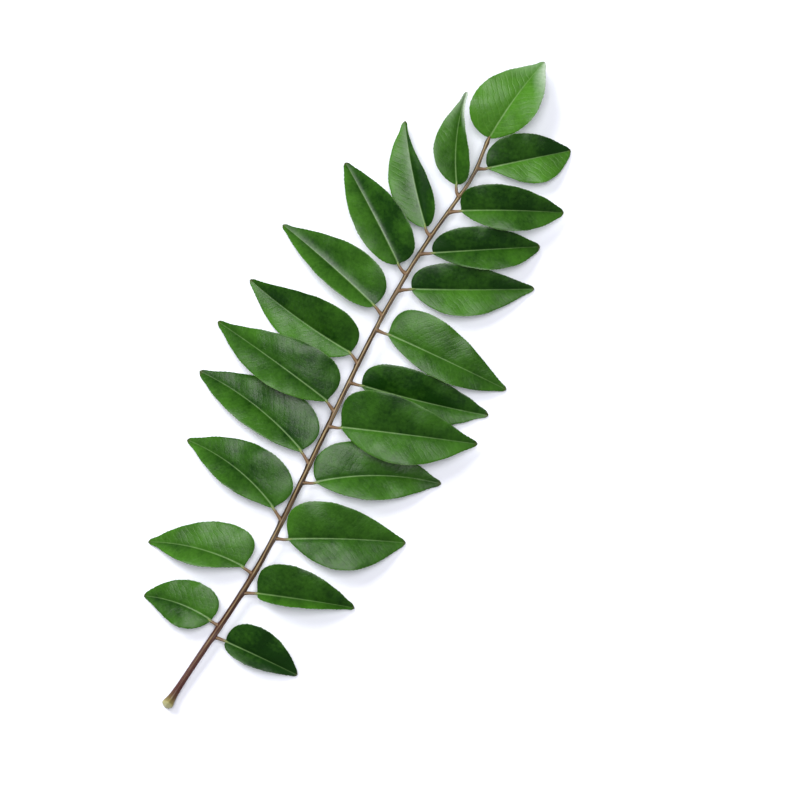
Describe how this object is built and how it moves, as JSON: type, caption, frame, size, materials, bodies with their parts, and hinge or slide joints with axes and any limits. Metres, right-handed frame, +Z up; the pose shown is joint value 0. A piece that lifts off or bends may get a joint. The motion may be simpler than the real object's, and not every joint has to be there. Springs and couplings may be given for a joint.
{
  "type": "curry leaf sprig",
  "caption": "Fresh-cut curry leaf sprig lying flat: a slender brown rachis with glossy dark green folded leaflets on short stalks along both sides and one at its end.",
  "frame": {"origin": "On the surface that the sprig lies on, under the middle of its length and its width.", "axes": "+Y along the rachis from the cut heel to the end leaflet, +Z up from the surface, +X to the right of the rachis seen from above."},
  "size_m": [0.0952, 0.2488, 0.0119],
  "materials": {
    "rachis_bark": "satin",
    "leaflet_stalk": "satin",
    "leaf_blade": "semi-gloss"
  },
  "bodies": {
    "root": {"rachis": "rachis_bark", "stalk_left_01": "leaflet_stalk", "leaflet_left_01": "leaf_blade", "stalk_left_02": "leaflet_stalk", "leaflet_left_02": "leaf_blade", "stalk_left_03": "leaflet_stalk", "leaflet_left_03": "leaf_blade", "stalk_left_04": "leaflet_stalk", "leaflet_left_04": "leaf_blade", "stalk_left_05": "leaflet_stalk", "leaflet_left_05": "leaf_blade", "stalk_left_06": "leaflet_stalk", "leaflet_left_06": "leaf_blade", "stalk_left_07": "leaflet_stalk", "leaflet_left_07": "leaf_blade", "stalk_left_08": "leaflet_stalk", "leaflet_left_08": "leaf_blade", "stalk_left_09": "leaflet_stalk", "leaflet_left_09": "leaf_blade", "stalk_left_10": "leaflet_stalk", "leaflet_left_10": "leaf_blade", "stalk_right_01": "leaflet_stalk", "leaflet_right_01": "leaf_blade", "stalk_right_02": "leaflet_stalk", "leaflet_right_02": "leaf_blade", "stalk_right_03": "leaflet_stalk", "leaflet_right_03": "leaf_blade", "stalk_right_04": "leaflet_stalk", "leaflet_right_04": "leaf_blade", "stalk_right_05": "leaflet_stalk", "leaflet_right_05": "leaf_blade", "stalk_right_06": "leaflet_stalk", "leaflet_right_06": "leaf_blade", "stalk_right_07": "leaflet_stalk", "leaflet_right_07": "leaf_blade", "stalk_right_08": "leaflet_stalk", "leaflet_right_08": "leaf_blade", "stalk_right_09": "leaflet_stalk", "leaflet_right_09": "leaf_blade", "stalk_right_10": "leaflet_stalk", "leaflet_right_10": "leaf_blade", "stalk_right_11": "leaflet_stalk", "leaflet_right_11": "leaf_blade", "leaflet_end": "leaf_blade"}
  },
  "joints": []
}
